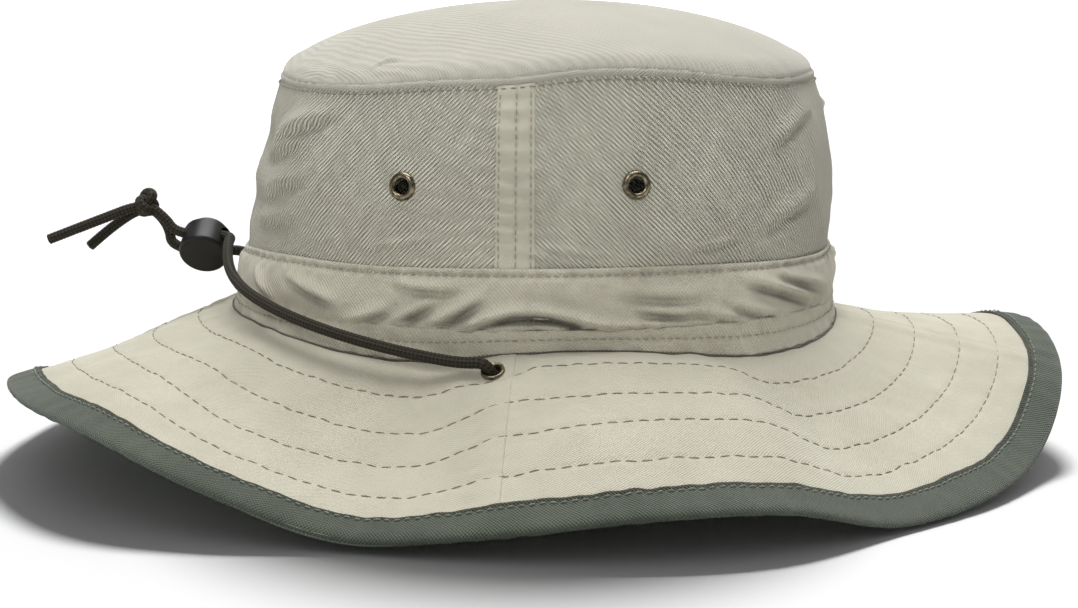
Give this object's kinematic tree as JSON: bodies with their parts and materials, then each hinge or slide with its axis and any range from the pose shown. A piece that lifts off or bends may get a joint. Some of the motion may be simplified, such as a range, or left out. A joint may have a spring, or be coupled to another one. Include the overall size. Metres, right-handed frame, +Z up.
{
  "type": "boonie hat",
  "caption": "Wide-brim sun hat with a domed oval crown, stitched wavy brim, dark edge binding, vent eyelets and a chin cord with a push-button cord lock behind the crown.",
  "frame": {"origin": "bottom centre of the hat's own box, without the cord: the floor that the brim stands on, below the crown's middle", "axes": "+X towards the hat's front, +Y towards the wearer's left, +Z up"},
  "size_m": [0.3577, 0.3151, 0.1531],
  "materials": {
    "crown_cloth": "matt light khaki nylon, fine twill",
    "brim_cloth": "matt light khaki nylon, fine twill, four rows of topstitch",
    "brim_under_cloth": "matt olive green cloth",
    "binding_cloth": "matt grey-green twill tape",
    "interlining": "plain stiff interlining",
    "sweatband_cloth": "matt olive terry tape",
    "label_cloth": "blank woven label",
    "eyelet_brass": "antique brass, worn edges",
    "cord_braid": "round braided cord, satin",
    "lock_plastic": "moulded black, satin gloss",
    "spring_steel": "drawn wire"
  },
  "bodies": {
    "hat": {"crown_tip": "crown_cloth", "crown_wall_front": "crown_cloth", "crown_wall_back": "crown_cloth", "tip_seam_welt": "crown_cloth", "side_seam_left": "crown_cloth", "side_seam_right": "crown_cloth", "crown_band": "crown_cloth", "band_hem": "crown_cloth", "sweatband": "sweatband_cloth", "size_label": "label_cloth", "brim_top_front_left": "brim_cloth", "brim_under_front_left": "brim_under_cloth", "vent_eyelet_front_left": "eyelet_brass", "vent_washer_front_left": "eyelet_brass", "brim_top_back_left": "brim_cloth", "brim_under_back_left": "brim_under_cloth", "vent_eyelet_back_left": "eyelet_brass", "vent_washer_back_left": "eyelet_brass", "brim_top_back_right": "brim_cloth", "brim_under_back_right": "brim_under_cloth", "vent_eyelet_back_right": "eyelet_brass", "vent_washer_back_right": "eyelet_brass", "brim_top_front_right": "brim_cloth", "brim_under_front_right": "brim_under_cloth", "vent_eyelet_front_right": "eyelet_brass", "vent_washer_front_right": "eyelet_brass", "brim_interlining_left": "interlining", "brim_eyelet_left": "eyelet_brass", "brim_washer_left": "eyelet_brass", "chin_cord_left": "cord_braid", "stop_knot_left": "cord_braid", "brim_interlining_right": "interlining", "brim_eyelet_right": "eyelet_brass", "brim_washer_right": "eyelet_brass", "chin_cord_right": "cord_braid", "stop_knot_right": "cord_braid", "brim_binding": "binding_cloth", "cord_knot": "cord_braid"},
    "cord_lock": {"cord_lock_body": "lock_plastic", "cord_lock_spring": "spring_steel"},
    "lock_button": {"cord_lock_button": "lock_plastic"}
  },
  "joints": [
    {"name": "cord_lock_slide", "type": "slide", "parent": "hat", "child": "cord_lock", "axis": [-1, 0, 0], "range_m": [0, 0.006], "deforming": ["chin_cord_right", "chin_cord_left"]},
    {"name": "button_press", "type": "slide", "parent": "cord_lock", "child": "lock_button", "axis": [0, -0.8191, -0.5736], "range_m": [0, 0.0025], "stiffness_N_per_m": 400, "springref_m": -0.003, "deforming": ["cord_lock_spring"]}
  ]
}
